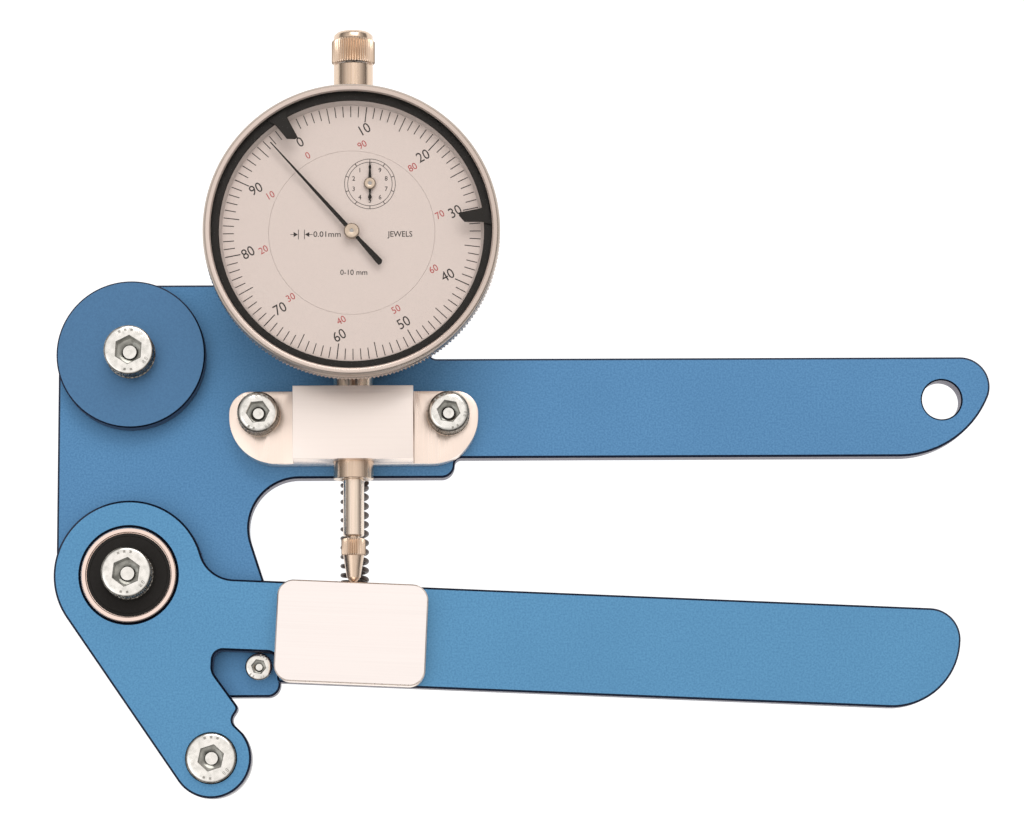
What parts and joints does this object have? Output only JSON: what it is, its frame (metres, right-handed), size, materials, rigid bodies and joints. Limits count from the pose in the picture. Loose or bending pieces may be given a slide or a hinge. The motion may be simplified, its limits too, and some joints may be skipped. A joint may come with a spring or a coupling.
{
  "type": "spoke tension gauge",
  "caption": "Hand-held lever gauge with a ball-bearing pivot, three grooved rollers, a return spring and a dial indicator that reads how far the lever moves.",
  "frame": {"origin": "centre of the bounding box in plan, at the lowest points, which are the ends of the three roller studs", "axes": "+X along the fixed handle away from the rollers, +Y from the lever towards the dial, +Z out of the front, the way the dial faces"},
  "size_m": [0.1896, 0.155, 0.0405],
  "materials": {
    "blue_anodised": "fine blue anodised, bright chamfered edges",
    "bearing_steel": "ground and polished",
    "seal_rubber": "matte black",
    "zinc_steel": "bright zinc plate, worn at the edges",
    "bright_steel": "turned",
    "brushed_alloy": "brushed, left bare",
    "spring_steel": "dark drawn wire",
    "nickel_silver": "warm grey, ground, with knurled grips",
    "case_metal": "champagne plating",
    "dial_card": "printed off-white",
    "black_enamel": "satin black",
    "crystal_glass": "clear",
    "brass": "satin"
  },
  "bodies": {
    "frame": {"body_plate": "blue_anodised", "support_disc": "blue_anodised", "support_screw": "zinc_steel", "support_bush": "bright_steel", "support_nut": "zinc_steel", "pivot_screw": "zinc_steel", "bearing_inner_ring": "bearing_steel", "centre_bush": "bright_steel", "centre_nut": "zinc_steel", "stop_screw": "zinc_steel", "clamp_block": "brushed_alloy", "clamp_screw_left": "zinc_steel", "clamp_screw_right": "zinc_steel", "stem": "nickel_silver", "dial_case": "case_metal", "case_cover": "case_metal", "upper_collar": "nickel_silver", "end_cap": "nickel_silver", "movement_bridge": "brass", "movement_plate": "brass", "inner_dial": "dial_card", "spring_pin_upper": "bright_steel", "handle_spring": "spring_steel", "return_spring": "spring_steel", "hairspring": "spring_steel"},
    "lever": {"lever_arm": "blue_anodised", "bearing_outer_ring": "bearing_steel", "bearing_seal_front": "seal_rubber", "bearing_seal_rear": "seal_rubber", "anvil_block": "brushed_alloy", "spring_block": "brushed_alloy", "anvil_screw_left": "zinc_steel", "anvil_screw_right": "zinc_steel", "claw_screw": "zinc_steel", "claw_spacer": "bright_steel", "claw_bush": "bright_steel", "claw_nut": "zinc_steel", "spring_pin_lower": "bright_steel"},
    "ball_cage": {"bearing_balls": "bearing_steel"},
    "support_wheel": {"support_roller": "bearing_steel"},
    "centre_wheel": {"centre_roller": "bearing_steel"},
    "claw_wheel": {"claw_roller": "bearing_steel"},
    "spindle": {"plunger": "nickel_silver", "contact_point": "nickel_silver", "guide_pin": "bright_steel"},
    "main_train": {"main_arbor": "bright_steel", "rack_pinion": "brass", "main_gear": "brass"},
    "pointer_train": {"centre_arbor": "bright_steel", "centre_pinion": "brass", "long_pointer": "black_enamel"},
    "counter_train": {"counter_arbor": "bright_steel", "hairspring_gear": "brass", "small_pointer": "black_enamel"},
    "bezel_group": {"bezel": "case_metal", "scale_ring": "dial_card", "limit_ring": "black_enamel", "crystal": "crystal_glass"},
    "low_marker": {"limit_marker_low": "black_enamel"},
    "high_marker": {"limit_marker_high": "black_enamel"}
  },
  "joints": [
    {"name": "lever_pivot", "type": "hinge", "parent": "frame", "child": "lever", "pos_m": [-0.07982, -0.03298, 0.0186], "axis": [0, 0, 1], "range_deg": [0, 9.4], "stiffness_Nm_per_rad": 2, "springref_deg": -6.88, "deforming": ["handle_spring"]},
    {"name": "plunger_slide", "type": "slide", "parent": "frame", "child": "spindle", "axis": [0, 1, 0], "range_m": [0, 0.0075], "deforming": ["return_spring"]},
    {"name": "pointer_spin", "type": "hinge", "parent": "frame", "child": "pointer_train", "pos_m": [-0.03483, 0.03362, 0.0375], "axis": [0, 0, 1], "range_deg": [-2700, 0]},
    {"name": "main_gear_spin", "type": "hinge", "parent": "frame", "child": "main_train", "pos_m": [-0.03843, 0.02381, 0.0265], "axis": [0, 0, 1], "range_deg": [0, 270]},
    {"name": "counter_spin", "type": "hinge", "parent": "frame", "child": "counter_train", "pos_m": [-0.03122, 0.04343, 0.0265], "axis": [0, 0, 1], "range_deg": [0, 270], "deforming": ["hairspring"]},
    {"name": "cage_spin", "type": "hinge", "parent": "frame", "child": "ball_cage", "pos_m": [-0.07982, -0.03298, 0.01865], "axis": [0, 0, 1], "range_deg": [0, 6.1]},
    {"name": "bezel_turn", "type": "hinge", "parent": "frame", "child": "bezel_group", "pos_m": [-0.03483, 0.03362, 0.0376], "axis": [0, 0, 1], "continuous": true},
    {"name": "low_marker_turn", "type": "hinge", "parent": "bezel_group", "child": "low_marker", "pos_m": [-0.03483, 0.03362, 0.03895], "axis": [0, 0, 1], "range_deg": [-30, 30]},
    {"name": "high_marker_turn", "type": "hinge", "parent": "bezel_group", "child": "high_marker", "pos_m": [-0.03483, 0.03362, 0.03895], "axis": [0, 0, 1], "range_deg": [-40, 40]},
    {"name": "support_roller_spin", "type": "hinge", "parent": "frame", "child": "support_wheel", "pos_m": [-0.07982, 0.01182, 0.0072], "axis": [0, 0, 1], "continuous": true},
    {"name": "centre_roller_spin", "type": "hinge", "parent": "frame", "child": "centre_wheel", "pos_m": [-0.07982, -0.03298, 0.0072], "axis": [0, 0, 1], "continuous": true},
    {"name": "claw_roller_spin", "type": "hinge", "parent": "lever", "child": "claw_wheel", "pos_m": [-0.06318, -0.06957, 0.0072], "axis": [0, 0, 1], "continuous": true}
  ],
  "couplings": [
    {"joint": "plunger_slide", "follows": "lever_pivot", "m_per_rad": 0.0453},
    {"joint": "pointer_spin", "follows": "lever_pivot", "ratio": -284.63},
    {"joint": "main_gear_spin", "follows": "lever_pivot", "ratio": 28.463},
    {"joint": "counter_spin", "follows": "lever_pivot", "ratio": 28.463},
    {"joint": "cage_spin", "follows": "lever_pivot", "ratio": 0.64}
  ]
}
